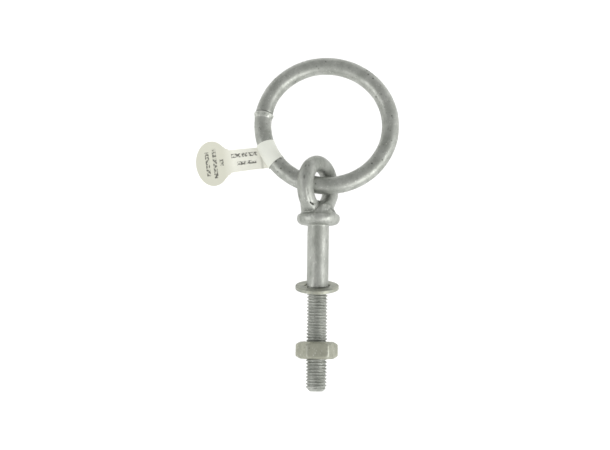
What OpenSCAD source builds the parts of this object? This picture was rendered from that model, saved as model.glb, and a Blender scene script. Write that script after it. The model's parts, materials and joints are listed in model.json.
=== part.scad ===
// Galvanised eye bolt with a captive lifting ring, a plain washer, a hexagon nut and a paper stock tag.
// The bolt's axis is the X axis and +X runs towards the threaded end. The origin is the centre of
// the collar's bearing face. +Z is up as the eye bolt lies on a bench: the eye, the nut and the far
// side of the ring touch the bench, whose surface slopes 3 degrees to the bolt's axis.
// All sizes are in millimetres.

/* [Bolt] */
// Diameter of the plain shank
shank_d = 9.9; // [9.6:0.1:9.9]
// Length of the plain shank, from the collar's bearing face
shank_len = 29; // [20:1:29]
// Outside diameter of the M10 thread, under size as it is galvanised after cutting
thread_d = 9.5; // [9.4:0.1:9.6]
// Length from the collar's bearing face to the threaded end
bolt_len = 75.5; // [72:0.5:90]
// Length of the chamfer at the threaded end
end_chamfer = 1; // [0.5:0.1:1.5]

/* [Eye and collar] */
// Outside diameter of the round collar
collar_d = 19.9; // [18.5:0.1:19.9]
// Thickness of the collar, which has a fully rounded edge
collar_t = 5.9; // [5:0.1:5.9]
// Inside diameter of the eye
eye_hole_d = 14; // [14:0.1:15]
// Diameter of the bar that forms the eye
eye_bar_d = 7.5; // [7:0.1:7.5]
// Distance from the bearing face to the eye's centre
eye_height = 17.6; // [17.4:0.1:17.8]
// Turn of the eye about the bolt's axis, from lying flat
eye_turn = 58.8; // [50:0.1:65]

/* [Ring] */
// Inside diameter of the ring
ring_hole_d = 51.5; // [50:0.5:60]
// Diameter of the ring's bar
ring_bar_d = 8; // [7:0.1:8]
// Diameter over the flash of the butt weld
weld_d = 9.3; // [8.4:0.1:9.4]
// Length of the weld along the bar
weld_len = 1.8; // [1.2:0.1:2.4]
// Turn of the ring in plan, seen from above
ring_yaw = 6.2; // [0:0.1:10]
// Angle at which the ring slopes down from the eye to the bench
ring_droop = 11.8; // [8:0.1:11.8]

/* [Washer and nut] */
// Outside diameter of the washer
washer_d = 20; // [19.6:0.1:20]
// Diameter of the washer's hole
washer_hole_d = 11.2; // [11.2:0.1:11.5]
// Thickness of the washer
washer_t = 1.8; // [1.5:0.1:1.8]
// Place of the washer's centre along the bolt
washer_x = 28.3; // [28:0.1:30]
// Lean of the washer, its top towards the threaded end
washer_lean = 17; // [10:0.5:17]
// Width of the nut across its flats
nut_af = 17; // [16:0.5:17]
// Height of the nut
nut_h = 8; // [7.6:0.1:8.4]
// Place of the nut's centre along the bolt
nut_x = 57; // [53:0.1:60]
// Turn of the nut about the bolt, from a flat lying level
nut_turn = 4.5; // [-5:0.5:5]
// Radial clearance between the thread and the nut
nut_gap = 0.05; // [0.02:0.01:0.09]

/* [Tag] */
// Width of the tag's strip
strip_w = 10.5; // [8:0.5:12]
// Distance from the fold at the bar to the centre of the tag's head
head_reach = 23.1; // [18:0.1:24]
// Length of the oval head along the strip
head_l = 15.5; // [12:0.5:16]
// Width of the oval head across the strip
head_w = 20.7; // [16:0.1:22]
// Thickness of the two glued layers
tag_t = 0.4; // [0.3:0.1:0.6]
// Place of the tag round the ring, from the eye
tag_angle = -54.5; // [-70:0.1:-45]
// Turn of the strip from the ring's radius
tag_skew = -21; // [-25:1:0]

/* [Hidden] */
$fn = 96;
// Length by which joined or cut shapes run past each other, and the least such length
overlap = 1;
sliver = 0.01;

eye_r = (eye_hole_d + eye_bar_d) / 2;
ring_r = (ring_hole_d + ring_bar_d) / 2;
collar_edge_r = collar_t / 2;
collar_core_r = collar_d / 2 - collar_edge_r;
// The forged eye is a little to one side of the bolt's axis
eye_shift = -0.4;
// Where the ring's bar sits in the eye, a little above the bolt's axis
ring_pivot = [-18.4, 0, 0.1];
// The weld is a quarter turn round the ring from the eye
weld_angle = -93;
weld_span = weld_len / ring_r * 180 / PI;
// The shoulder slopes from the collar's edge to the neck, and the neck fills the foot of the eye
shoulder_r = 8.5;
shoulder_x = -4.4;
neck_r = 6.2;
neck_x = -8;
crotch_r = 3;
crotch_x = -11.4;
// Radius of the nut's bore, and the depth and rise of its chamfers
nut_bore_r = thread_d / 2 + nut_gap;
nut_corner_r = nut_af / 2 / cos(30);
nut_face_r = 0.475 * nut_af;
nut_chamfer = (nut_corner_r - nut_face_r) * tan(30);
countersink = 0.7;
// The washer hangs on the bolt, so its centre is off the bolt's axis
washer_rise = -0.1;
washer_shift = -0.2;
// Gap between the tag's band and the bar, and the thickness of the band
band_gap = 0.06;
band_t = 0.3;
band_span = 20.5;

// Turns a shape that stands on Z so that it lies along +X
module along_x() rotate([0, 90, 0]) children();

// A truncated cone along the bolt, from x1 to x2
module bolt_cone(x1, x2, r1, r2)
  translate([x1, 0, 0]) along_x() cylinder(h = x2 - x1, r1 = r1, r2 = r2);

// Puts the ring's own frame, centred on the ring and level, in its place in the eye
module ring_place()
  translate(ring_pivot)
    rotate([0, 0, -ring_yaw])
      rotate([0, -ring_droop, 0])
        translate([-ring_r, 0, 0])
          children();

// A stretch of bar bent round the ring's centre
module ring_arc(start, span, d)
  rotate([0, 0, start])
    rotate_extrude(angle = span)
      translate([ring_r, 0])
        circle(d = d);

module collar()
  translate([-collar_t, 0, 0])
    along_x()
      rotate_extrude() {
        square([collar_core_r, collar_t]);
        translate([collar_core_r, collar_edge_r])
          intersection() {
            circle(r = collar_edge_r);
            translate([-sliver, -collar_edge_r])
              square([collar_t, collar_t]);
          }
      }

module neck() {
  bolt_cone(neck_x, shoulder_x, neck_r, shoulder_r);
  bolt_cone(crotch_x, neck_x, crotch_r, neck_r);
}

module eye()
  translate([-eye_height, eye_shift, 0])
    rotate([-eye_turn, 0, 0])
      rotate_extrude()
        translate([eye_r, 0])
          circle(d = eye_bar_d);

module shank()
  bolt_cone(-overlap, shank_len, shank_d / 2, shank_d / 2);

module thread() {
  bolt_cone(shank_len - overlap, bolt_len - end_chamfer, thread_d / 2, thread_d / 2);
  bolt_cone(bolt_len - end_chamfer, bolt_len, thread_d / 2, thread_d / 2 - end_chamfer);
}

module eye_bolt()
  color("#8c8f89") {
    eye();
    neck();
    collar();
    shank();
    thread();
  }

module ring()
  color("#84877f")
    ring_place()
      ring_arc(weld_angle + weld_span / 2, 360 - weld_span, ring_bar_d);

module ring_weld()
  color("#94978f")
    ring_place()
      ring_arc(weld_angle - weld_span / 2, weld_span, weld_d);

module washer()
  color("#8d8f80")
    translate([washer_x, washer_shift, washer_rise])
      rotate([0, washer_lean, 0])
        along_x()
          difference() {
            cylinder(h = washer_t, d = washer_d, center = true);
            cylinder(h = washer_t + 2 * overlap, d = washer_hole_d, center = true);
          }

// The round blank that cuts the 30 degree chamfers at the nut's corners
module nut_blank()
  rotate_extrude()
    polygon([
      [0, -nut_h / 2],
      [nut_face_r, -nut_h / 2],
      [nut_corner_r, -nut_h / 2 + nut_chamfer],
      [nut_corner_r, nut_h / 2 - nut_chamfer],
      [nut_face_r, nut_h / 2],
      [0, nut_h / 2]
    ]);

module nut_countersink()
  translate([0, 0, nut_h / 2 - countersink])
    cylinder(h = countersink + sliver, r1 = nut_bore_r, r2 = nut_bore_r + countersink);

module hex_nut()
  color("#98998a")
    translate([nut_x, 0, 0])
      rotate([-nut_turn, 0, 0])
        along_x()
          difference() {
            intersection() {
              rotate([0, 0, 30])
                cylinder(h = nut_h, r = nut_corner_r, center = true, $fn = 6);
              nut_blank();
            }
            cylinder(h = nut_h + 2 * overlap, r = nut_bore_r, center = true);
            nut_countersink();
            mirror([0, 0, 1]) nut_countersink();
          }

// The paper band that wraps the bar
module tag_band()
  rotate([0, 0, tag_angle - band_span / 2])
    rotate_extrude(angle = band_span)
      translate([ring_r, 0])
        difference() {
          circle(d = ring_bar_d + 2 * (band_gap + band_t));
          circle(d = ring_bar_d + 2 * band_gap);
        }

// The outline of the strip and the oval head, with the fold at the origin
module tag_outline() {
  translate([-overlap, -strip_w / 2])
    square([head_reach + overlap, strip_w]);
  translate([head_reach, 0])
    scale([head_l / head_w, 1])
      circle(d = head_w);
}

// The flat part, cut back so that its root follows the bar's outer edge
module tag_flag()
  difference() {
    rotate([0, 0, tag_angle])
      translate([ring_r + ring_bar_d / 2 + band_gap + band_t / 2, 0, -tag_t / 2])
        rotate([0, 0, tag_skew])
          linear_extrude(tag_t)
            tag_outline();
    translate([0, 0, -overlap])
      cylinder(h = 2 * overlap, r = ring_r + ring_bar_d / 2 + band_gap + band_t / 2);
  }

module label()
  color("#e6e5d6")
    ring_place() {
      tag_band();
      tag_flag();
    }

eye_bolt();
ring();
ring_weld();
washer();
hex_nut();
label();
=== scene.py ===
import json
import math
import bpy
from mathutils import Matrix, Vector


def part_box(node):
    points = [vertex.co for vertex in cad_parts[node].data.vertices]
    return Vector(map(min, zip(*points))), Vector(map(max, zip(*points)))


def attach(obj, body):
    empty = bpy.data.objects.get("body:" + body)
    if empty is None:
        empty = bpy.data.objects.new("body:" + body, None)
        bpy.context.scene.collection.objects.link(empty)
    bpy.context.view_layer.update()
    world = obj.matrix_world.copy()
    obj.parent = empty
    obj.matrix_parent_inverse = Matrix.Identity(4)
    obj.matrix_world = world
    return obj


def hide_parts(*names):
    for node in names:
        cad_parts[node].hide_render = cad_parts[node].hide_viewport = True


bl_info = {
    "name": "Galvanised Ring Bolt",
    "version": (1, 0, 0),
    "blender": (4, 5, 0),
    "location": "View3D > Sidebar > Ring Bolt",
    "description": "Builds a hot-dip galvanised eye bolt with its ring, washer, nut and stock tag",
    "category": "Object",
}

import bmesh
import bpy
from bpy.props import FloatProperty, FloatVectorProperty, PointerProperty, StringProperty
from mathutils import Matrix, Vector, noise

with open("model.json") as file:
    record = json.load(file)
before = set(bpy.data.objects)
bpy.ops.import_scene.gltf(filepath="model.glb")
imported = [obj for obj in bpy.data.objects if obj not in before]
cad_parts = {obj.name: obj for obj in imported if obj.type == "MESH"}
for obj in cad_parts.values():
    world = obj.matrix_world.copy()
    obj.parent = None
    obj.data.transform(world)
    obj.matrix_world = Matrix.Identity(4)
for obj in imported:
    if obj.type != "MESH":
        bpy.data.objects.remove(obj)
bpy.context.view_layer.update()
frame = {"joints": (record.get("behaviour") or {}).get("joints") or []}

# Meshes are modelled in millimetres and turned to metres once, when a piece is finished
MM = 0.001
# Finest detail of the pieces that are made as one skin, in millimetres
VOXEL = 0.22


# ---- properties


class ForgingSizes(bpy.types.PropertyGroup):
    shank_d: FloatProperty(
        name="Shank", description="Diameter of the plain shank", default=9.9 * MM, unit="LENGTH")
    shank_len: FloatProperty(
        name="Shank length", description="From the collar's bearing face to the thread",
        default=29 * MM, unit="LENGTH")
    thread_d: FloatProperty(
        name="Thread", description="Diameter over the thread's crests", default=9.5 * MM, unit="LENGTH")
    thread_depth: FloatProperty(
        name="Thread depth", description="Height of the thread, from root to crest",
        default=0.74 * MM, unit="LENGTH")
    pitch: FloatProperty(
        name="Pitch", description="Distance between two crests of the thread",
        default=1.5 * MM, unit="LENGTH")
    collar_d: FloatProperty(
        name="Collar", description="Outside diameter of the collar", default=19.9 * MM, unit="LENGTH")
    collar_t: FloatProperty(
        name="Collar thickness", description="Thickness of the collar", default=5.9 * MM, unit="LENGTH")
    eye_d: FloatProperty(
        name="Eye", description="Diameter of the eye along the middle of its bar",
        default=21.5 * MM, unit="LENGTH")
    eye_bar_d: FloatProperty(
        name="Eye bar", description="Diameter of the eye's bar", default=7.5 * MM, unit="LENGTH")
    eye_height: FloatProperty(
        name="Eye height", description="From the bearing face to the eye's centre",
        default=17.6 * MM, unit="LENGTH")
    eye_turn: FloatProperty(
        name="Eye turn", description="Turn of the eye about the bolt, from lying flat",
        default=math.radians(58.8), unit="ROTATION")


class RingSizes(bpy.types.PropertyGroup):
    ring_d: FloatProperty(
        name="Ring", description="Diameter of the ring along the middle of its bar",
        default=59.5 * MM, unit="LENGTH")
    bar_d: FloatProperty(
        name="Bar", description="Diameter of the ring's bar", default=8 * MM, unit="LENGTH")
    weld_d: FloatProperty(
        name="Weld", description="Diameter over the flash of the weld", default=9.3 * MM, unit="LENGTH")
    weld_angle: FloatProperty(
        name="Weld place", description="Angle round the ring from the eye to the weld",
        default=math.radians(-93), unit="ROTATION")


class FastenerSizes(bpy.types.PropertyGroup):
    washer_d: FloatProperty(
        name="Washer", description="Outside diameter of the washer", default=20 * MM, unit="LENGTH")
    washer_hole_d: FloatProperty(
        name="Washer hole", description="Diameter of the washer's hole",
        default=11.2 * MM, unit="LENGTH")
    washer_t: FloatProperty(
        name="Washer thickness", description="Thickness of the washer", default=1.8 * MM, unit="LENGTH")
    washer_lean: FloatProperty(
        name="Washer lean", description="Lean of the washer on the bolt",
        default=math.radians(17), unit="ROTATION")
    nut_af: FloatProperty(
        name="Nut", description="Width of the nut across its flats", default=17 * MM, unit="LENGTH")
    nut_h: FloatProperty(
        name="Nut height", description="Height of the nut", default=8 * MM, unit="LENGTH")
    nut_turn: FloatProperty(
        name="Nut turn", description="Turn of the nut about the bolt",
        default=math.radians(4.5), unit="ROTATION")


class TagSizes(bpy.types.PropertyGroup):
    strip_w: FloatProperty(
        name="Strip", description="Width of the tag's strip", default=10.5 * MM, unit="LENGTH")
    head_reach: FloatProperty(
        name="Reach", description="From the fold at the bar to the centre of the head",
        default=23.1 * MM, unit="LENGTH")
    head_l: FloatProperty(
        name="Head length", description="Length of the oval head along the strip",
        default=15.5 * MM, unit="LENGTH")
    head_w: FloatProperty(
        name="Head width", description="Width of the oval head", default=20.7 * MM, unit="LENGTH")
    place: FloatProperty(
        name="Place", description="Angle round the ring from the eye to the tag",
        default=math.radians(-54.5), unit="ROTATION")
    twist: FloatProperty(
        name="Twist", description="Twist of the head from the ring's plane",
        default=math.radians(-15), unit="ROTATION")
    skew: FloatProperty(
        name="Skew", description="Turn of the strip from the ring's radius",
        default=math.radians(-21), unit="ROTATION")


class Finishes(bpy.types.PropertyGroup):
    zinc_dark: StringProperty(
        name="Zinc, dark", description="Darker patches of the zinc, as an sRGB hex", default="8E918A")
    zinc_light: StringProperty(
        name="Zinc, light", description="Lighter patches of the zinc, as an sRGB hex", default="B2B4AE")
    # Also the colour of the painted highlights on the nut's corners and the weld's crest
    zinc_bright: StringProperty(
        name="Zinc, rubbed", description="Rubbed specks of the zinc, as an sRGB hex", default="D2D4CD")
    zinc_warm: StringProperty(
        name="Zinc, aged", description="Yellowish zinc of the nut and washer, as an sRGB hex",
        default="A5A696")
    zinc_aged: StringProperty(
        name="Zinc, dull", description="Darker patches of the nut, as an sRGB hex", default="8F9083")
    paper: StringProperty(
        name="Paper", description="Cream paper of the tag, as an sRGB hex", default="E9E9DD")
    # Darker, yellower tone of the head
    paper_head: StringProperty(
        name="Paper, old", description="Yellowed paper of the head, as an sRGB hex", default="D0D0C1")
    band: StringProperty(
        name="Band", description="Single layer of the tag round the bar, as an sRGB hex",
        default="E0E2D8")
    # Also the grey of the painted shade in the tag's fold
    ink: StringProperty(
        name="Ink", description="Grey print on the tag, as an sRGB hex", default="55554F")


class StageSettings(bpy.types.PropertyGroup):
    camera_place: FloatVectorProperty(
        name="Camera", description="Where the camera stands",
        default=(0.0479, 0.0133, 0.5534), subtype="XYZ", unit="LENGTH")
    camera_target: FloatVectorProperty(
        name="Target", description="The point that the camera looks at",
        default=(0.0, -0.0061, 0.0), subtype="XYZ", unit="LENGTH")
    camera_roll: FloatProperty(
        name="Roll", description="Roll of the camera", default=math.radians(0.8), unit="ROTATION")
    lens: FloatProperty(
        name="Lens", description="Focal length on a 36 mm sensor", default=71.6, unit="CAMERA")
    floor: StringProperty(
        name="Floor", description="Colour of the floor, as an sRGB hex", default="FBFBFA")


# ---- shared helpers


def in_mm(length):
    return length / MM


def linear(hex_colour):
    """An sRGB hex colour as linear RGBA."""
    values = [int(hex_colour[i:i + 2], 16) / 255 for i in (0, 2, 4)]
    return [v / 12.92 if v <= 0.04045 else ((v + 0.055) / 1.055) ** 2.4 for v in values] + [1.0]


def add(tree, kind, inputs=None, **settings):
    """Adds a node with its settings, and links or sets its inputs."""
    node = tree.nodes.new(kind)
    for key, value in settings.items():
        setattr(node, key, value)
    for socket, value in (inputs or {}).items():
        if isinstance(value, bpy.types.NodeSocket):
            tree.links.new(value, node.inputs[socket])
        else:
            node.inputs[socket].default_value = value
    return node


def maths(tree, operation, *values):
    """The output of a math node."""
    return add(tree, "ShaderNodeMath", dict(enumerate(values)), operation=operation).outputs["Value"]


def new_material(name):
    material = bpy.data.materials.new(name)
    material.use_nodes = True
    material.node_tree.nodes.clear()
    return material, material.node_tree


def per_mm(size):
    """The scale of a pattern on object coordinates whose features are that many millimetres."""
    return 1 / (size * MM)


def finish_piece(name, bm, material, body, nodes, smooth_angle=None):
    """Turns a bmesh in millimetres to an object in metres that stands for the CAD nodes.

    Edges that turn by more than smooth_angle, in degrees, are left sharp.
    """
    if not all(edge.is_manifold for edge in bm.edges):
        raise RuntimeError(f"{name} is not a closed mesh")
    bmesh.ops.scale(bm, vec=(MM, MM, MM), verts=bm.verts)
    bmesh.ops.recalc_face_normals(bm, faces=bm.faces)
    for face in bm.faces:
        face.smooth = True
        face.material_index = 0
    mesh = bpy.data.meshes.new(name)
    bm.to_mesh(mesh)
    bm.free()
    if smooth_angle is not None:
        mesh.set_sharp_from_angle(angle=math.radians(smooth_angle))
    mesh.materials.append(material)
    piece = bpy.data.objects.new(name, mesh)
    bpy.context.scene.collection.objects.link(piece)
    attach(piece, body)
    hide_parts(*nodes)
    return piece


def join(bm, other):
    """Moves everything in the other bmesh to the first."""
    mesh = bpy.data.meshes.new("copy")
    other.to_mesh(mesh)
    other.free()
    bm.from_mesh(mesh)
    bpy.data.meshes.remove(mesh)


def with_modifier(bm, kind, **settings):
    """The bmesh after one modifier, in the same units."""
    mesh = bpy.data.meshes.new("work")
    bm.to_mesh(mesh)
    bm.free()
    work = bpy.data.objects.new("work", mesh)
    bpy.context.scene.collection.objects.link(work)
    modifier = work.modifiers.new("work", kind)
    for key, value in settings.items():
        setattr(modifier, key, value)
    shaped = bpy.data.meshes.new_from_object(work.evaluated_get(bpy.context.evaluated_depsgraph_get()))
    result = bmesh.new()
    result.from_mesh(shaped)
    bpy.data.objects.remove(work)
    bpy.data.meshes.remove(mesh)
    bpy.data.meshes.remove(shaped)
    return result


def one_skin(bm, smoothing):
    """One skin over everything in the bmesh, then smoothed that many times."""
    skin = with_modifier(bm, "REMESH", mode="VOXEL", voxel_size=VOXEL)
    for _ in range(smoothing):
        bmesh.ops.smooth_vert(skin, verts=skin.verts, factor=0.5,
                              use_axis_x=True, use_axis_y=True, use_axis_z=True)
    return skin


def lathe(bm, outline, steps=96):
    """A full turn round X of an outline of (place along X, radius) points, closed at X."""
    verts = [bm.verts.new((x, 0, r)) for x, r in outline]
    edges = [bm.edges.new(pair) for pair in zip(verts, verts[1:])]
    bmesh.ops.spin(bm, geom=verts + edges, cent=(0, 0, 0), axis=(1, 0, 0),
                   angle=math.tau, steps=steps, use_merge=True)


def arc(centre, radius, start, end, count):
    """Points of an arc in (x, r), from start to end in degrees."""
    angles = [math.radians(start + (end - start) * i / count) for i in range(count + 1)]
    return [(centre[0] + radius * math.cos(a), centre[1] + radius * math.sin(a)) for a in angles]


def bar_arc(radius, bar_r, span, steps, sides=32):
    """A bar bent round the Z axis, from angle 0 to the span, with open ends."""
    bm = bmesh.new()
    bmesh.ops.create_circle(bm, segments=sides, radius=bar_r, cap_ends=False,
                            matrix=Matrix.Translation((radius, 0, 0)) @ Matrix.Rotation(math.pi / 2, 4, "X"))
    full = abs(span - math.tau) < 1e-6
    bmesh.ops.spin(bm, geom=bm.verts[:] + bm.edges[:], cent=(0, 0, 0), axis=(0, 0, 1),
                   angle=span, steps=steps, use_merge=full)
    return bm


def fill_holes(bm):
    bmesh.ops.holes_fill(bm, edges=[e for e in bm.edges if e.is_boundary], sides=0)


def lumps(place, size, seed):
    """Smooth noise from -1 to 1 with features of that many millimetres."""
    return noise.noise(Vector(place) / size + Vector((seed, -seed, 2.7 * seed)))


def zinc_skin(bm, depth, seed):
    """Presses the uneven surface that molten zinc leaves into a mesh, always inwards."""
    bm.normal_update()
    moves = []
    for v in bm.verts:
        swell = lumps(v.co, 5.0, seed) + 0.5 * lumps(v.co, 1.9, seed + 3) + 0.25 * lumps(v.co, 0.8, seed + 7)
        moves.append(v.normal * (depth * (swell - 1.6) / 3.2))
    for v, move in zip(bm.verts, moves):
        v.co += move


def taper(bm, near, far, near_r, far_r):
    """A round bar between two points, with round ends and a radius at each."""
    near = Vector(near)
    far = Vector(far)
    turn = (far - near).to_track_quat("Z", "Y").to_matrix().to_4x4()
    bmesh.ops.create_cone(bm, cap_ends=True, segments=32, radius1=near_r, radius2=far_r,
                          depth=(far - near).length,
                          matrix=Matrix.Translation((near + far) / 2) @ turn)
    for place, radius in ((near, near_r), (far, far_r)):
        bmesh.ops.create_icosphere(bm, subdivisions=3, radius=radius, matrix=Matrix.Translation(place))


def press_line(bm, path, depth, width):
    """Presses a groove along a line seen from above, or raises a ridge if the depth is negative."""
    painted_shade = bm.verts.layers.float.get("painted_shade") or bm.verts.layers.float.new("painted_shade")
    bm.normal_update()
    points = [Vector((x, y)) for x, y in path]
    low_x = min(p.x for p in points) - 3 * width
    high_x = max(p.x for p in points) + 3 * width
    moves = []
    for v in bm.verts:
        if v.co.z < 0 or not low_x < v.co.x < high_x:
            continue
        here = v.co.xy
        nearest = min((here - closest_on(a, b, here)).length for a, b in zip(points, points[1:]))
        if nearest < 3 * width:
            share = math.exp(-((nearest / width) ** 2))
            moves.append((v, v.normal * -depth * share))
            # Painted shade in the groove, darker where it is deeper; ridges get none
            v[painted_shade] = max(v[painted_shade], min(share * depth * abs(depth) / 0.8, 1))
    for v, move in moves:
        v.co += move


def closest_on(a, b, point):
    """The point of the segment from a to b that is nearest to the given one."""
    along = b - a
    t = min(max((point - a).dot(along) / along.length_squared, 0), 1)
    return a + along * t


def smoothstep(low, high, x):
    t = min(max((x - low) / (high - low), 0), 1)
    return t * t * (3 - 2 * t)


# ---- materials


def zinc(name, dark, light, bright, patch=5.0, roughness=(0.4, 0.56), pits=0.45, seed=0.0, streak=1.0):
    """Hot-dip galvanised steel: dull, mottled zinc with fine grain, dark pits and rubbed specks, and painted
    shade and painted highlights from the mesh's attributes.
    """
    material, tree = new_material(name)
    coords = add(tree, "ShaderNodeTexCoord").outputs["Object"]
    place = add(tree, "ShaderNodeMapping",
                {"Vector": coords, "Location": (seed, 0.7 * seed, 0.3 * seed), "Scale": (streak, 1, 1)}
                ).outputs["Vector"]
    # Patches where the zinc froze at different times
    patches = add(tree, "ShaderNodeTexNoise",
                  {"Vector": place, "Scale": per_mm(patch), "Detail": 5.0, "Roughness": 0.62})
    base = add(tree, "ShaderNodeValToRGB", {"Fac": patches.outputs["Fac"]})
    base.color_ramp.elements[0].position = 0.3
    base.color_ramp.elements[0].color = linear(dark)
    base.color_ramp.elements[1].position = 0.7
    base.color_ramp.elements[1].color = linear(light)
    # Grain of the zinc crystals, drawn at 0.5 mm so that it shows
    grain = add(tree, "ShaderNodeTexNoise",
                {"Vector": place, "Scale": per_mm(0.5), "Detail": 3.0, "Roughness": 0.7})
    grain_tone = add(tree, "ShaderNodeMapRange",
                     {"Value": grain.outputs["Fac"], "From Min": 0.3, "From Max": 0.7,
                      "To Min": 0.88, "To Max": 1.1})
    grained = add(tree, "ShaderNodeMixRGB",
                  {"Fac": 1.0, "Color1": base.outputs["Color"], "Color2": grain_tone.outputs["Result"]},
                  blend_type="MULTIPLY")
    # Where the zinc was rubbed or pitted: zones about 7 mm across
    zones = add(tree, "ShaderNodeTexNoise", {"Vector": place, "Scale": per_mm(7), "Detail": 2.0})
    rubbed_zone = add(tree, "ShaderNodeMapRange",
                      {"Value": zones.outputs["Fac"], "From Min": 0.45, "From Max": 0.62,
                       "To Min": 0.1, "To Max": 0.75})
    pitted_zone = add(tree, "ShaderNodeMapRange",
                      {"Value": zones.outputs["Fac"], "From Min": 0.4, "From Max": 0.56,
                       "To Min": pits, "To Max": 0.3 * pits})
    # Specks rubbed bright in handling, about 0.5 mm across
    specks = add(tree, "ShaderNodeTexVoronoi", {"Vector": place, "Scale": per_mm(1.4)})
    speck_mask = add(tree, "ShaderNodeMapRange",
                     {"Value": specks.outputs["Distance"], "From Min": 0.1, "From Max": 0.24,
                      "To Min": rubbed_zone.outputs["Result"], "To Max": 0.0})
    speckled = add(tree, "ShaderNodeMixRGB",
                   {"Fac": speck_mask.outputs["Result"], "Color1": grained.outputs["Color"],
                    "Color2": linear(bright)})
    # Pits and ash spots, about 0.5 mm across
    pit_cells = add(tree, "ShaderNodeTexVoronoi",
                    {"Vector": place, "Scale": per_mm(2.4), "Randomness": 1.0})
    pit_mask = add(tree, "ShaderNodeMapRange",
                   {"Value": pit_cells.outputs["Distance"], "From Min": 0.1, "From Max": 0.25,
                    "To Min": pitted_zone.outputs["Result"], "To Max": 0.0})
    colour = add(tree, "ShaderNodeMixRGB",
                 {"Fac": pit_mask.outputs["Result"], "Color1": speckled.outputs["Color"],
                  "Color2": linear("3C3E39")})
    # Painted shade in the laps, in the thread's root and on the ring at the foot of the weld's flash
    painted_shade = add(tree, "ShaderNodeAttribute", attribute_name="painted_shade").outputs["Fac"]
    colour = add(tree, "ShaderNodeMixRGB",
                 {"Fac": painted_shade, "Color1": colour.outputs["Color"], "Color2": linear("262723")})
    # Painted highlights along the nut's corners and the weld's crest, in the colour of the rubbed specks
    edge = add(tree, "ShaderNodeAttribute", attribute_name="painted_highlight").outputs["Fac"]
    colour = add(tree, "ShaderNodeMixRGB",
                 {"Fac": edge, "Color1": colour.outputs["Color"], "Color2": linear(bright)})
    # Height: broad flow marks, grain and pits
    height = maths(tree, "SUBTRACT", grain.outputs["Fac"], pit_mask.outputs["Result"])
    fine = add(tree, "ShaderNodeBump", {"Height": height, "Strength": 0.3, "Distance": 0.08 * MM})
    broad = add(tree, "ShaderNodeBump",
                {"Height": patches.outputs["Fac"], "Normal": fine.outputs["Normal"],
                 "Strength": 0.3, "Distance": 0.25 * MM})
    gloss = add(tree, "ShaderNodeMapRange",
                {"Value": patches.outputs["Fac"], "From Min": 0.35, "From Max": 0.65,
                 "To Min": roughness[1], "To Max": roughness[0]})
    shader = add(tree, "ShaderNodeBsdfPrincipled",
                 {"Base Color": colour.outputs["Color"], "Roughness": gloss.outputs["Result"],
                  "Normal": broad.outputs["Normal"], "Metallic": 0.72})
    add(tree, "ShaderNodeOutputMaterial", {"Surface": shader.outputs["BSDF"]})
    return material


# Places and sizes of the tag's dummy print lines: centre along the strip, centre across it,
# length along the strip and length across it, all in millimetres from the fold
PRINT_LINES = (
    (8.1, -2.4, 12.2, 1.9),
    (7.3, 1.4, 9.2, 1.7),
    (25.4, 0.0, 1.8, 11.0),
    (22.0, 0.0, 1.8, 13.8),
    (18.9, 0.0, 1.7, 3.0),
)
TAG_MAP = 50.0


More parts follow.
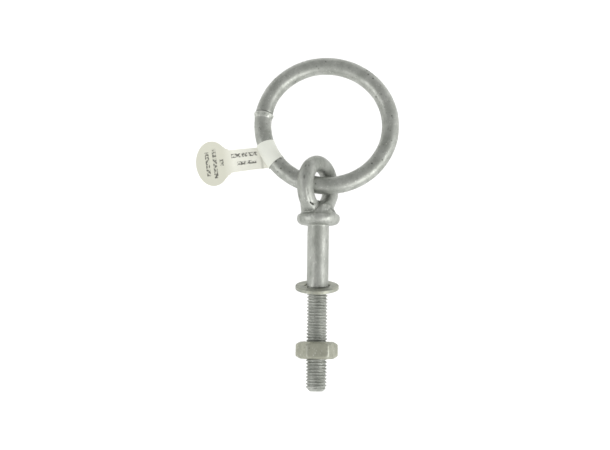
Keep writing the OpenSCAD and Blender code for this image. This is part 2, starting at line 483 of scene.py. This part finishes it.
def tag_paper(finishes):
    """Uncoated cream card with grey dummy lines in place of print."""
    material, tree = new_material("Cream card")
    uv = add(tree, "ShaderNodeUVMap", uv_map="tag").outputs["UV"]
    flat = add(tree, "ShaderNodeSeparateXYZ", {"Vector": uv})
    printed = None
    for along, across, length, width in PRINT_LINES:
        sides = []
        for axis, centre, extent in (("X", along, length), ("Y", across, width)):
            offset = maths(tree, "SUBTRACT", flat.outputs[axis], 0.5 + centre / TAG_MAP)
            distance = maths(tree, "ABSOLUTE", offset)
            sides.append(maths(tree, "LESS_THAN", distance, extent / 2 / TAG_MAP))
        line = maths(tree, "MULTIPLY", *sides)
        printed = line if printed is None else maths(tree, "MAXIMUM", printed, line)
    # Strokes about 0.6 mm wide break the lines up as print does, with no letters in them
    strokes = add(tree, "ShaderNodeTexNoise", {"Vector": uv, "Scale": TAG_MAP / 1.1, "Detail": 1.0})
    broken = add(tree, "ShaderNodeMapRange",
                 {"Value": strokes.outputs["Fac"], "From Min": 0.46, "From Max": 0.54,
                  "To Min": 0.12, "To Max": 0.9})
    ink_mask = maths(tree, "MULTIPLY", printed, broken.outputs["Result"])
    fibres = add(tree, "ShaderNodeTexNoise",
                 {"Vector": uv, "Scale": TAG_MAP / 2.5, "Detail": 6.0, "Roughness": 0.6})
    shade = add(tree, "ShaderNodeMapRange",
                {"Value": fibres.outputs["Fac"], "From Min": 0.3, "From Max": 0.7,
                 "To Min": 0.93, "To Max": 1.02})
    card = add(tree, "ShaderNodeMixRGB",
               {"Fac": 1.0, "Color1": linear(finishes.paper), "Color2": shade.outputs["Result"]},
               blend_type="MULTIPLY")
    # The head is darker and yellower than the strip
    head_tone = add(tree, "ShaderNodeMapRange",
                   {"Value": flat.outputs["X"], "From Min": 0.5 + 13 / TAG_MAP,
                    "From Max": 0.5 + 18 / TAG_MAP, "To Min": 0.0, "To Max": 1.0})
    card = add(tree, "ShaderNodeMixRGB",
               {"Fac": head_tone.outputs["Result"], "Color1": card.outputs["Color"],
                "Color2": linear(finishes.paper_head)})
    # Painted shade in the fold beside the bar, in the ink's grey
    beside = maths(tree, "ABSOLUTE", maths(tree, "SUBTRACT", flat.outputs["X"], 0.5 + 0.4 / TAG_MAP))
    fold_shade = add(tree, "ShaderNodeMapRange",
               {"Value": beside, "From Min": 0.0, "From Max": 0.9 / TAG_MAP,
                "To Min": 0.32, "To Max": 0.0})
    card = add(tree, "ShaderNodeMixRGB",
               {"Fac": fold_shade.outputs["Result"], "Color1": card.outputs["Color"],
                "Color2": linear(finishes.ink)})
    # The band is a single layer, and the zinc under it greys it
    band = maths(tree, "LESS_THAN", flat.outputs["X"], 0.3)
    card = add(tree, "ShaderNodeMixRGB",
               {"Fac": band, "Color1": card.outputs["Color"],
                "Color2": linear(finishes.band)})
    colour = add(tree, "ShaderNodeMixRGB",
                 {"Fac": ink_mask, "Color1": card.outputs["Color"],
                  "Color2": linear(finishes.ink)})
    bump = add(tree, "ShaderNodeBump",
               {"Height": fibres.outputs["Fac"], "Strength": 0.25, "Distance": 0.08 * MM})
    shader = add(tree, "ShaderNodeBsdfPrincipled",
                 {"Base Color": colour.outputs["Color"], "Roughness": 0.72, "IOR": 1.45,
                  "Normal": bump.outputs["Normal"]})
    add(tree, "ShaderNodeOutputMaterial", {"Surface": shader.outputs["BSDF"]})
    return material


# ---- forging


# Metal that fills the foot of the eye on both sides: two points of the frame and a radius at each
HEAD_FILLS = (
    ((-13.6, -5.2, 7.2), (-5.5, -3.7, 1.2), 3.4, 4.2),
    ((-14.2, 5.1, -8.6), (-8.2, 3.4, -1.0), 3.75, 3.4),
    ((-8.2, 3.4, -1.0), (-6.0, 1.0, 2.0), 3.4, 4.6),
)
# Laps left by forging, as a line seen from above, its depth and its width. A negative depth
# is a ridge.
LAPS = (
    (((-15.0, -5.0), (-11.4, -4.2), (-9.9, -3.7)), 0.16, 0.5),
    (((-9.4, -3.4), (-8.9, -2.9), (-8.6, -2.2)), 0.8, 0.25),
    (((-8.8, -2.2), (-8.6, -1.0), (-9.9, 0.3)), 0.2, 0.4),
    (((-11.0, 0.6), (-8.2, 0.0), (-6.3, -1.6)), 0.3, 0.35),
    (((-7.5, 6.0), (-6.3, 7.2)), 0.85, 0.28),
    (((-6.6, -1.9), (-3.4, -1.9)), -0.3, 0.6),
    (((-3.5, -5.9), (-3.2, -5.6)), -0.2, 0.9),
    (((-3.2, 4.6), (-3.0, 5.2)), -0.22, 0.9),
    (((-12.5, 5.5), (-9.6, 3.2), (-7.2, 1.0), (-6.9, -0.6)), -0.3, 0.9),
    (((-8.3, 5.8), (-6.6, 4.6), (-6.0, 2.4)), 0.2, 0.5),
)


# The forged eye is a little to one side of the bolt's axis
EYE_SHIFT = -0.4


def eye_frame(sizes):
    """The eye's plane, centred on the eye, in the frame."""
    return (Matrix.Translation((-in_mm(sizes.eye_height), EYE_SHIFT, 0))
            @ Matrix.Rotation(-sizes.eye_turn, 4, "X"))


def forged_head(sizes):
    """Eye, neck and collar as one skin, with the laps that forging leaves at the foot of the eye."""
    bm = bmesh.new()
    collar_r = in_mm(sizes.collar_d) / 2
    edge_r = in_mm(sizes.collar_t) / 2
    shank_r = in_mm(sizes.shank_d) / 2
    outline = [(-11.4, 0), (-11.2, 3.0), (-9.0, 6.4), (-7.4, 7.2), (-6.3, 7.7), (-5.2, 8.4)]
    outline += arc((-edge_r, collar_r - edge_r), edge_r, 125, 0, 10)
    outline += [(0, collar_r - edge_r), (0, shank_r + 0.25), (0.4, shank_r), (4, shank_r), (4, 0)]
    lathe(bm, outline)
    eye = bar_arc(in_mm(sizes.eye_d) / 2, in_mm(sizes.eye_bar_d) / 2, math.tau, 96)
    eye.transform(eye_frame(sizes))
    join(bm, eye)
    for near, far, near_r, far_r in HEAD_FILLS:
        taper(bm, near, far, near_r, far_r)
    skin = one_skin(bm, 4)
    zinc_skin(skin, 0.1, 1.3)
    for path, depth, width in LAPS:
        press_line(skin, path, depth, width)
    return skin


def thread_outline(sizes):
    """One pitch of the thread as (place along the bolt, radius)."""
    pitch = in_mm(sizes.pitch)
    crest = in_mm(sizes.thread_d) / 2
    root = crest - in_mm(sizes.thread_depth)
    places = ((0, root), (0.1, root), (0.24, (root + crest) / 2), (0.4, crest - 0.03), (0.5, crest),
              (0.6, crest - 0.03), (0.76, (root + crest) / 2), (0.9, root), (1, root))
    return [(x * pitch, r) for x, r in places]


def helix(bm, outline, pitch, start, turns, steps=72):
    """Winds one pitch of a thread along the bolt, as a right-hand thread."""
    verts = [bm.verts.new((start + x, 0, r)) for x, r in outline]
    edges = [bm.edges.new(pair) for pair in zip(verts, verts[1:])]
    bmesh.ops.spin(bm, geom=verts + edges, cent=(0, 0, 0), axis=(1, 0, 0), dvec=(pitch / steps, 0, 0),
                   angle=math.tau * turns, steps=steps * turns)
    bmesh.ops.remove_doubles(bm, verts=bm.verts, dist=0.01)


def cut(bm, x, keep_above):
    """Cuts the mesh square to the bolt and drops one side."""
    side = 1 if keep_above else -1
    bmesh.ops.bisect_plane(bm, geom=bm.verts[:] + bm.edges[:] + bm.faces[:], dist=0.0001,
                           plane_co=(x, 0, 0), plane_no=(side, 0, 0), clear_inner=True)


def boundary(bm, low, high):
    """The mesh's open edges between two places along the bolt."""
    return [e for e in bm.edges if e.is_boundary and all(low <= v.co.x <= high for v in e.verts)]


def threaded_shank(sizes):
    """Plain shank and cut thread, which runs out into the shank and is chamfered at its end."""
    pitch = in_mm(sizes.pitch)
    shank_r = in_mm(sizes.shank_d) / 2
    shank_len = in_mm(sizes.shank_len)
    end = in_mm(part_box("eye_bolt")[1].x)
    crest = in_mm(sizes.thread_d) / 2
    chamfer = 1.7
    run_out = 0.9
    bm = bmesh.new()
    turns = math.ceil((end - shank_len) / pitch) + 5
    helix(bm, thread_outline(sizes), pitch, shank_len - 3 * pitch, turns)
    cut(bm, shank_len - 1, True)
    cut(bm, end, False)
    for v in bm.verts:
        radius = math.hypot(v.co.y, v.co.z)
        cut_in = smoothstep(shank_len - run_out, shank_len + run_out, v.co.x)
        wanted = min(shank_r + (radius - shank_r) * cut_in, crest - chamfer + (end - v.co.x) * 0.95)
        v.co.y *= wanted / radius
        v.co.z *= wanted / radius
    # The plain shank grows out of the thread's first loop and ends inside the collar
    for x in (shank_len - 6, shank_len - 13, shank_len - 20, 2):
        loop = boundary(bm, -1, shank_len)
        grown = bmesh.ops.extrude_edge_only(bm, edges=loop)["geom"]
        for v in grown:
            if isinstance(v, bmesh.types.BMVert):
                v.co.x = x
    fill_holes(bm)
    # Painted shade in the thread's root
    painted_shade = bm.verts.layers.float.new("painted_shade")
    for v in bm.verts:
        if v.co.x > shank_len:
            depth = (crest - math.hypot(v.co.y, v.co.z)) / in_mm(sizes.thread_depth)
            v[painted_shade] = 0.04 * min(max(depth, 0), 1)
    return bm


class RINGBOLT_OT_forging(bpy.types.Operator):
    """Forged eye, neck, collar, shank and thread"""

    bl_idname = "ringbolt.forging"
    bl_label = "Forging"

    def execute(self, context):
        sizes = context.scene.ringbolt_forging
        finishes = context.scene.ringbolt_finishes
        bm = forged_head(sizes)
        shank = threaded_shank(sizes)
        join(bm, shank)
        material = zinc("Hot-dip zinc on forged steel", finishes.zinc_dark, finishes.zinc_light,
                        finishes.zinc_bright, pits=0.5, seed=0.11, streak=0.4)
        finish_piece("forged_eye_bolt", bm, material, "bolt", ["eye_bolt"],
                     smooth_angle=50)
        return {"FINISHED"}


# ---- ring


# Slope at which the ring lies, from the eye down to the bench
RING_DROOP = math.radians(11.8)


def ring_frame(sizes):
    """The ring's own frame, centred and level, in its place in the eye."""
    swing = next(j for j in frame["joints"] if j["name"] == "ring_swing")
    pivot = Vector(swing["pos_m"]) / MM
    yaw = math.atan2(swing["axis"][0], swing["axis"][1])
    radius = in_mm(sizes.ring_d) / 2
    return (Matrix.Translation(pivot) @ Matrix.Rotation(-yaw, 4, "Z")
            @ Matrix.Rotation(-RING_DROOP, 4, "Y") @ Matrix.Translation((-radius, 0, 0)))


def round_bar(bm, radius, size_at):
    """Sets the bar's radius from a function of the arc length and the angle round the bar."""
    for v in bm.verts:
        flat = math.hypot(v.co.x, v.co.y)
        out = flat - radius
        bar_r = math.hypot(out, v.co.z)
        if bar_r < 1e-6:
            continue
        angle = math.atan2(v.co.y, v.co.x)
        wanted = size_at(angle * radius, math.atan2(v.co.z, out))
        scale = wanted / bar_r
        v.co.z *= scale
        new_flat = radius + out * scale
        v.co.x *= new_flat / flat
        v.co.y *= new_flat / flat


def ring_bar(sizes):
    """The bar, bent round and upset a little where its ends were pressed together."""
    radius = in_mm(sizes.ring_d) / 2
    bar_r = in_mm(sizes.bar_d) / 2
    # The bar's ends stop short of each other under the weld's flash
    gap = 0.6
    bm = bar_arc(radius, bar_r, math.tau - gap / radius, 300, sides=40)
    fill_holes(bm)
    span = math.tau * radius

    def size_at(arc_length, around):
        from_weld = min(arc_length % span, span - arc_length % span)
        place = (arc_length % span, 4 * math.cos(around), 4 * math.sin(around))
        uneven = 0.05 * (lumps(place, 9, 5.1) + 0.5 * lumps(place, 2.5, 8.2) + 0.3 * lumps(place, 1.0, 3.2))
        upset = 0.12 * math.exp(-((from_weld / 2.5) ** 2))
        # The flash hangs over the bar on the side away from the tag, and leaves a gap there
        overhung = max(span - gap - arc_length % span, 0)
        return bar_r + uneven + upset - 0.4 * math.exp(-((overhung / 0.5) ** 2))

    round_bar(bm, radius, size_at)
    # Painted shade on the bar under the flash's overhang
    painted_shade = bm.verts.layers.float.new("painted_shade")
    for v in bm.verts:
        overhung = span - gap - math.atan2(v.co.y, v.co.x) % math.tau * radius
        v[painted_shade] = 0.6 * math.exp(-((overhung / 0.6) ** 2))
    bm.transform(Matrix.Rotation(sizes.weld_angle + gap / radius / 2, 4, "Z"))
    bm.transform(ring_frame(sizes))
    return bm


def weld_flash(sizes):
    """The ragged flash squeezed out of the butt weld, steeper on one side."""
    radius = in_mm(sizes.ring_d) / 2
    bar_r = in_mm(sizes.bar_d) / 2
    peak = in_mm(sizes.weld_d) / 2 - bar_r
    length = 4.6
    crest = 0.8
    bm = bar_arc(radius, bar_r, length / radius, 46, sides=72)
    fill_holes(bm)

    def size_at(arc_length, around):
        place = (2.2 * math.cos(around), 2.2 * math.sin(around), 1.7)
        # The flash slopes gently towards the tag, and ends steeply on the other side
        from_crest = arc_length - crest - 0.1 * lumps(place, 1.4, 6.6)
        side = 1.9 if from_crest > 0 else 0.3
        height = peak * (0.93 + 0.12 * lumps(place, 1.5, 2.4))
        return bar_r - 0.1 + math.exp(-((from_crest / side) ** 2)) * (height + 0.1)

    round_bar(bm, radius, size_at)
    # Painted shade at the foot of the flash's steep side, and a painted highlight along its crest
    painted_shade = bm.verts.layers.float.new("painted_shade")
    painted_highlight = bm.verts.layers.float.new("painted_highlight")
    for v in bm.verts:
        arc_length = math.atan2(v.co.y, v.co.x) * radius
        v[painted_shade] = 0.75 * smoothstep(crest - 0.2, crest - 0.5, arc_length)
        v[painted_highlight] = 0.5 * math.exp(-(((arc_length - crest - 0.1) / 0.4) ** 2))
    bm.transform(Matrix.Rotation(sizes.weld_angle - crest / radius, 4, "Z"))
    bm.transform(ring_frame(sizes))
    return bm


class RINGBOLT_OT_ring(bpy.types.Operator):
    """Lifting ring of round bar and the flash of its butt weld"""

    bl_idname = "ringbolt.ring"
    bl_label = "Ring"

    def execute(self, context):
        sizes = context.scene.ringbolt_ring
        finishes = context.scene.ringbolt_finishes
        bar = zinc("Hot-dip zinc on bent bar", finishes.zinc_dark, finishes.zinc_light,
                   finishes.zinc_bright, patch=6.0, roughness=(0.33, 0.5), seed=0.43, pits=0.75)
        flash = zinc("Hot-dip zinc on weld flash", finishes.zinc_dark, finishes.zinc_bright,
                     finishes.zinc_bright, patch=2.0, seed=0.71)
        finish_piece("ring_bar", ring_bar(sizes), bar, "ring", ["ring"],
                     smooth_angle=50)
        finish_piece("weld_flash", weld_flash(sizes), flash, "ring", ["ring_weld"],
                     smooth_angle=60)
        return {"FINISHED"}


# ---- washer and nut


def middle(node):
    """The middle of a CAD node's box, in millimetres."""
    low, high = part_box(node)
    return (low + high) / 2 / MM


def punched_washer(sizes):
    """A punched washer: one face rolled over at its edges, the other nearly sharp, both uneven."""
    half = in_mm(sizes.washer_t) / 2
    outer = in_mm(sizes.washer_d) / 2
    inner = in_mm(sizes.washer_hole_d) / 2
    rolled = 0.5
    sharp = 0.18
    outline = arc((-half + rolled, outer - rolled), rolled, 180, 90, 5)
    outline += arc((half - sharp, outer - sharp), sharp, 90, 0, 3)
    outline += [(half, (inner + outer) / 2)]
    outline += arc((half - sharp, inner + sharp), sharp, 0, -90, 3)
    outline += arc((-half + rolled, inner + rolled), rolled, -90, -180, 5)
    outline += [(-half, (inner + outer) / 2)]
    bm = bmesh.new()
    verts = [bm.verts.new((x, 0, r)) for x, r in outline]
    edges = [bm.edges.new(pair) for pair in zip(verts, verts[1:] + verts[:1])]
    bmesh.ops.spin(bm, geom=verts + edges, cent=(0, 0, 0), axis=(1, 0, 0),
                   angle=math.tau, steps=144, use_merge=True)
    bmesh.ops.recalc_face_normals(bm, faces=bm.faces)
    bmesh.ops.subdivide_edges(bm, edges=[e for e in bm.edges if e.calc_length() > 1.5],
                              cuts=3, use_grid_fill=True)
    zinc_skin(bm, 0.14, 9.4)
    place = middle("washer")
    bm.transform(Matrix.Translation(place) @ Matrix.Rotation(sizes.washer_lean, 4, "Y"))
    return bm


def carve(bm, tool, how):
    """The bmesh after a Boolean with another, which is used up."""
    bmesh.ops.recalc_face_normals(tool, faces=tool.faces)
    mesh = bpy.data.meshes.new("tool")
    tool.to_mesh(mesh)
    tool.free()
    cutter = bpy.data.objects.new("tool", mesh)
    bpy.context.scene.collection.objects.link(cutter)
    carved = with_modifier(bm, "BOOLEAN", operation=how, object=cutter, solver="EXACT")
    bpy.data.objects.remove(cutter)
    bpy.data.meshes.remove(mesh)
    return carved


def hexagon_nut(sizes, forging):
    """A hexagon nut with chamfered corners and a plain bore, softened by its zinc."""
    half = in_mm(sizes.nut_h) / 2
    corner = in_mm(sizes.nut_af) / 2 / math.cos(math.radians(30))
    # The end faces are narrower than the flats, and 30 degree chamfers run out from them
    face_r = 0.44 * in_mm(sizes.nut_af)
    rise = (corner - face_r) * math.tan(math.radians(30))
    clearance = 0.05
    countersink = 0.7
    over = 1
    bm = bmesh.new()
    ring = bmesh.ops.create_circle(bm, cap_ends=True, segments=6, radius=corner,
                                   matrix=Matrix.Translation((-half, 0, 0))
                                   @ Matrix.Rotation(math.pi / 2, 4, "Y"))
    base = list({f for v in ring["verts"] for f in v.link_faces})
    top = bmesh.ops.extrude_face_region(bm, geom=base)["geom"]
    for item in top:
        if isinstance(item, bmesh.types.BMVert):
            item.co.x = half
    bmesh.ops.recalc_face_normals(bm, faces=bm.faces)
    blank = bmesh.new()
    lathe(blank, [(-half, 0), (-half, face_r), (-half + rise, corner + 0.01),
                  (half - rise, corner + 0.01), (half, face_r), (half, 0)], steps=120)
    bore = bmesh.new()
    hole = in_mm(forging.thread_d) / 2 + clearance
    mouth = hole + countersink + over
    lathe(bore, [(-half - over, 0), (-half - over, mouth), (countersink - half, hole),
                 (half - countersink, hole), (half + over, mouth), (half + over, 0)])
    bm = carve(carve(bm, blank, "INTERSECT"), bore, "DIFFERENCE")
    bm = one_skin(bm, 14)
    zinc_skin(bm, 0.12, 4.8)
    # Painted highlight along the nut's corners, uneven in strength
    painted_highlight = bm.verts.layers.float.new("painted_highlight")
    for v in bm.verts:
        flat = math.hypot(v.co.y, v.co.z)
        from_corner = (math.atan2(v.co.z, v.co.y) + math.pi / 6) % (math.pi / 3) - math.pi / 6
        if flat > in_mm(sizes.nut_af) / 2:
            share = max(0.2 + 0.3 * lumps(v.co, 4, 7.7), 0)
            v[painted_highlight] = share * math.exp(-((from_corner * flat / 0.6) ** 2))
    bm.transform(Matrix.Translation((middle("hex_nut").x, 0, 0)) @ Matrix.Rotation(-sizes.nut_turn, 4, "X"))
    return bm


class RINGBOLT_OT_fasteners(bpy.types.Operator):
    """Plain washer and hexagon nut"""

    bl_idname = "ringbolt.fasteners"
    bl_label = "Washer and nut"

    def execute(self, context):
        sizes = context.scene.ringbolt_fasteners
        finishes = context.scene.ringbolt_finishes
        forging = context.scene.ringbolt_forging
        stamped = zinc("Hot-dip zinc on stamped washer", finishes.zinc_dark, finishes.zinc_warm,
                       finishes.zinc_bright, patch=3.0, seed=0.27)
        pressed = zinc("Hot-dip zinc on pressed nut", finishes.zinc_aged, finishes.zinc_warm,
                       finishes.zinc_bright, patch=3.5, roughness=(0.4, 0.55), seed=0.59)
        finish_piece("plain_washer", punched_washer(sizes), stamped, "washer", ["washer"],
                     smooth_angle=50)
        finish_piece("hexagon_nut", hexagon_nut(sizes, forging), pressed, "nut", ["hex_nut"])
        return {"FINISHED"}


# ---- stock tag


# Thickness of one layer of the card
BAND_T = 0.12


def fold_start(across, edge_r, skew):
    """How far along the strip the bar's outer edge lies, for a place across the strip."""
    # The strip's line through the fold, against the circle of the bar's outer edge
    x = edge_r - across * math.sin(skew)
    y = across * math.cos(skew)
    half_b = x * math.cos(skew) + y * math.sin(skew)
    c = x * x + y * y - edge_r * edge_r
    return -half_b + math.sqrt(max(half_b * half_b - c, 0))


def card_stations(tag):
    """Places along the strip and the head, with the card's half width at each."""
    strip = in_mm(tag.strip_w) / 2
    reach = in_mm(tag.head_reach)
    half_l = in_mm(tag.head_l) / 2
    half_w = in_mm(tag.head_w) / 2
    stations = [(0.75 * i, strip) for i in range(int((reach - half_l) / 0.75) + 1)]
    for i in range(37):
        turn = math.pi * i / 36
        along = reach - half_l * math.cos(turn) * 0.998
        oval = half_w * math.sqrt(max(1 - ((along - reach) / half_l) ** 2, 0))
        neck = strip if along < reach - 0.55 * half_l else 0
        fillet = 0.9 * math.exp(-(((along - (reach - 0.9 * half_l)) / 1.2) ** 2))
        width = max(oval, neck)
        if neck and oval < strip + 1.5:
            width += fillet
        stations.append((along, max(width, 0.15)))
    return sorted(stations)


def card_flag(tag, ring):
    """Two glued layers of card that run out from the bar to an oval head."""
    edge_r = (in_mm(ring.ring_d) + in_mm(ring.bar_d)) / 2 + BAND_T
    length = in_mm(tag.head_reach) + in_mm(tag.head_l) / 2
    half_w = in_mm(tag.head_w) / 2
    thickness = 2 * BAND_T
    columns = 16
    stations = card_stations(tag)
    bm = bmesh.new()
    uv = bm.loops.layers.uv.new("tag")
    row = [bm.verts.new((0, (2 * j / columns - 1), 0)) for j in range(columns + 1)]
    edges = [bm.edges.new(pair) for pair in zip(row, row[1:])]

    def lay(verts, along, width):
        ordered = sorted(verts, key=lambda v: v.co.y)
        for j, v in enumerate(ordered):
            across = width * (2 * j / columns - 1)
            start = fold_start(across, edge_r, tag.skew)
            root = 1 - smoothstep(0, 9, along)
            v.co = Vector((along + start * root, across, 0))

    lay(row, *stations[0])
    for along, width in stations[1:]:
        grown = bmesh.ops.extrude_edge_only(bm, edges=edges)["geom"]
        verts = [g for g in grown if isinstance(g, bmesh.types.BMVert)]
        edges = [g for g in grown if isinstance(g, bmesh.types.BMEdge)
                 and all(v in verts for v in g.verts)]
        lay(verts, along, width)
    bmesh.ops.recalc_face_normals(bm, faces=bm.faces)
    bmesh.ops.solidify(bm, geom=bm.faces[:], thickness=thickness)
    # Solidify grows the card to one side of its faces, so it is moved back to the middle
    bm.faces.ensure_lookup_table()
    shift = math.copysign(thickness / 2, -bm.faces[0].normal.z)
    bmesh.ops.translate(bm, verts=bm.verts, vec=(0, 0, shift))
    for face in bm.faces:
        for loop in face.loops:
            loop[uv].uv = (0.5 + loop.vert.co.x / TAG_MAP, 0.5 + loop.vert.co.y / TAG_MAP)
    # The card sags and curls a little on its way out
    for v in bm.verts:
        out = max(v.co.x, 0) / length
        v.co.z += 0.9 * math.sin(2.4 * out) - 1.5 * out * out + 0.35 * out * (v.co.y / half_w) ** 2
        twist = tag.twist * smoothstep(2, 18, v.co.x)
        height = v.co.z
        v.co.z = height * math.cos(twist) + v.co.y * math.sin(twist)
        v.co.y = v.co.y * math.cos(twist) - height * math.sin(twist)
    bm.transform(Matrix.Translation((edge_r, 0, 0)) @ Matrix.Rotation(tag.skew, 4, "Z"))
    return bm


def card_band(ring):
    """The single layer round the bar, drawn to a fold on its outer side."""
    radius = in_mm(ring.ring_d) / 2
    bar_r = in_mm(ring.bar_d) / 2
    span = math.radians(20.5)
    band = bar_arc(radius, bar_r + 0.2, span, 20, sides=64)
    band_uv = band.loops.layers.uv.new("tag")

    def size_at(arc_length, around):
        fold = 0.24 * math.exp(-((around / math.radians(15)) ** 2))
        crease = 0.05 * lumps((arc_length, 3 * math.cos(around), 3 * math.sin(around)), 3.0, 1.9)
        return bar_r + 0.18 + fold + crease

    round_bar(band, radius, size_at)
    bmesh.ops.recalc_face_normals(band, faces=band.faces)
    bmesh.ops.solidify(band, geom=band.faces[:], thickness=BAND_T)
    for face in band.faces:
        for loop in face.loops:
            co = loop.vert.co
            loop[band_uv].uv = (0.04 + 0.1 * math.atan2(co.z, math.hypot(co.x, co.y) - radius) / math.pi,
                                0.5 + math.atan2(co.y, co.x) * radius / TAG_MAP)
    band.transform(Matrix.Rotation(-span / 2, 4, "Z"))
    return band


def tag_card(tag, ring):
    """The folded card in its place on the ring."""
    bm = card_flag(tag, ring)
    join(bm, card_band(ring))
    bm.transform(Matrix.Rotation(tag.place, 4, "Z"))
    bm.transform(ring_frame(ring))
    return bm


class RINGBOLT_OT_tag(bpy.types.Operator):
    """Folded card tag round the ring"""

    bl_idname = "ringbolt.tag"
    bl_label = "Stock tag"

    def execute(self, context):
        scene = context.scene
        bm = tag_card(scene.ringbolt_tag, scene.ringbolt_ring)
        finish_piece("card_tag", bm, tag_paper(scene.ringbolt_finishes), "ring", ["label"],
                     smooth_angle=40)
        return {"FINISHED"}


# ---- stage


def bench_slope():
    """Slope of the bench to the bolt, and its height under the origin: eye and nut touch it."""
    eye_low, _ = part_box("eye_bolt")
    nut_low, nut_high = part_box("hex_nut")
    eye_x = -bpy.context.scene.ringbolt_forging.eye_height
    slope = (nut_low.z - eye_low.z) / (nut_high.x - eye_x)
    return slope, eye_low.z - slope * eye_x


def softbox(name, place, power):
    """A rectangular lamp that faces the origin."""
    light = bpy.data.lights.new(name, "AREA")
    light.shape = "RECTANGLE"
    light.size = 1.0
    light.size_y = 0.5
    light.energy = power
    lamp = bpy.data.objects.new(name, light)
    lamp.location = place
    lamp.rotation_euler = (-Vector(place)).to_track_quat("-Z", "Y").to_euler()
    bpy.context.scene.collection.objects.link(lamp)


def bench_top(floor):
    """A light table of opal acrylic where the object rests. Half the light passes through it."""
    slope, height = bench_slope()
    bm = bmesh.new()
    bmesh.ops.create_grid(bm, x_segments=2, y_segments=2, size=1.6)
    below = 0.0001
    bm.transform(Matrix.Translation((0, 0, height - below)) @ Matrix.Rotation(-math.atan(slope), 4, "Y"))
    mesh = bpy.data.meshes.new("bench_top")
    bm.to_mesh(mesh)
    bm.free()
    material, tree = new_material("Opal acrylic")
    top = add(tree, "ShaderNodeBsdfPrincipled",
              {"Base Color": linear(floor), "Roughness": 1.0,
               "Emission Color": linear("FFFFFF"), "Emission Strength": 0.55})
    clear = add(tree, "ShaderNodeBsdfTransparent")
    mixed = add(tree, "ShaderNodeMixShader", {"Fac": 0.5, 1: top.outputs[0], 2: clear.outputs[0]})
    add(tree, "ShaderNodeOutputMaterial", {"Surface": mixed.outputs[0]})
    mesh.materials.append(material)
    bench = bpy.data.objects.new("bench_top", mesh)
    bpy.context.scene.collection.objects.link(bench)
    return bench


def studio_walls():
    """White walls under a ceiling whose dim part is off to one side."""
    world = bpy.data.worlds.new("studio")
    world.use_nodes = True
    walls = world.node_tree
    walls.nodes.clear()
    direction = add(walls, "ShaderNodeTexCoord").outputs["Generated"]
    towards_dim = add(walls, "ShaderNodeVectorMath", {0: direction, 1: (-0.5, -0.25, 0.83)},
                      operation="DOT_PRODUCT")
    light = add(walls, "ShaderNodeMapRange",
                {"Value": towards_dim.outputs["Value"], "From Min": 0.1, "From Max": 0.95,
                 "To Min": 1.0, "To Max": 0.52}, interpolation_type="SMOOTHSTEP")
    sky = add(walls, "ShaderNodeBackground",
              {"Color": linear("FFFFFF"), "Strength": light.outputs["Result"]})
    add(walls, "ShaderNodeOutputWorld", {"Surface": sky.outputs["Background"]})
    return world


def studio_camera(settings):
    """The camera, with the ring towards the top of its picture."""
    camera = bpy.data.cameras.new("camera")
    camera.lens = settings.lens
    camera.sensor_width = 36
    camera.clip_start = 0.01
    holder = bpy.data.objects.new("camera", camera)
    place = Vector(settings.camera_place)
    forward = (Vector(settings.camera_target) - place).normalized()
    right = forward.cross(Vector((-1, 0, 0))).normalized()
    up = right.cross(forward)
    turn = Matrix((right, up, -forward)).transposed().to_4x4()
    holder.matrix_world = Matrix.Translation(place) @ turn @ Matrix.Rotation(settings.camera_roll, 4, "Z")
    bpy.context.scene.collection.objects.link(holder)
    return holder


class RINGBOLT_OT_stage(bpy.types.Operator):
    """Pale bench top, soft studio light and camera"""

    bl_idname = "ringbolt.stage"
    bl_label = "Stage"

    def execute(self, context):
        scene = context.scene
        bench_top(scene.ringbolt_stage.floor)
        scene.world = studio_walls()
        softbox("left_softbox", (0.2, -0.75, 0.49), 2.7)
        softbox("right_softbox", (0.35, 0.75, 0.49), 5.6)
        scene.view_settings.view_transform = "Standard"
        scene.camera = studio_camera(scene.ringbolt_stage)
        return {"FINISHED"}


# ---- panel and registration


PIECES = ("ringbolt.stage", "ringbolt.forging", "ringbolt.ring", "ringbolt.fasteners", "ringbolt.tag")


class RINGBOLT_PT_panel(bpy.types.Panel):
    """Lists the pieces that can be built"""

    bl_label = "Ring Bolt"
    bl_idname = "RINGBOLT_PT_panel"
    bl_space_type = "VIEW_3D"
    bl_region_type = "UI"
    bl_category = "Ring Bolt"

    def draw(self, context):
        for name in PIECES:
            self.layout.operator(name)


GROUPS = {
    "ringbolt_forging": ForgingSizes,
    "ringbolt_ring": RingSizes,
    "ringbolt_fasteners": FastenerSizes,
    "ringbolt_tag": TagSizes,
    "ringbolt_finishes": Finishes,
    "ringbolt_stage": StageSettings,
}
CLASSES = (*GROUPS.values(), RINGBOLT_OT_stage, RINGBOLT_OT_forging, RINGBOLT_OT_ring,
           RINGBOLT_OT_fasteners, RINGBOLT_OT_tag, RINGBOLT_PT_panel)


def register():
    for cls in CLASSES:
        bpy.utils.register_class(cls)
    for name, group in GROUPS.items():
        setattr(bpy.types.Scene, name, PointerProperty(type=group))


def unregister():
    for name in GROUPS:
        delattr(bpy.types.Scene, name)
    for cls in reversed(CLASSES):
        bpy.utils.unregister_class(cls)


def main():
    register()
    for name in PIECES:
        group, operator = name.split(".")
        getattr(getattr(bpy.ops, group), operator)()


if __name__ == "__main__":
    main()
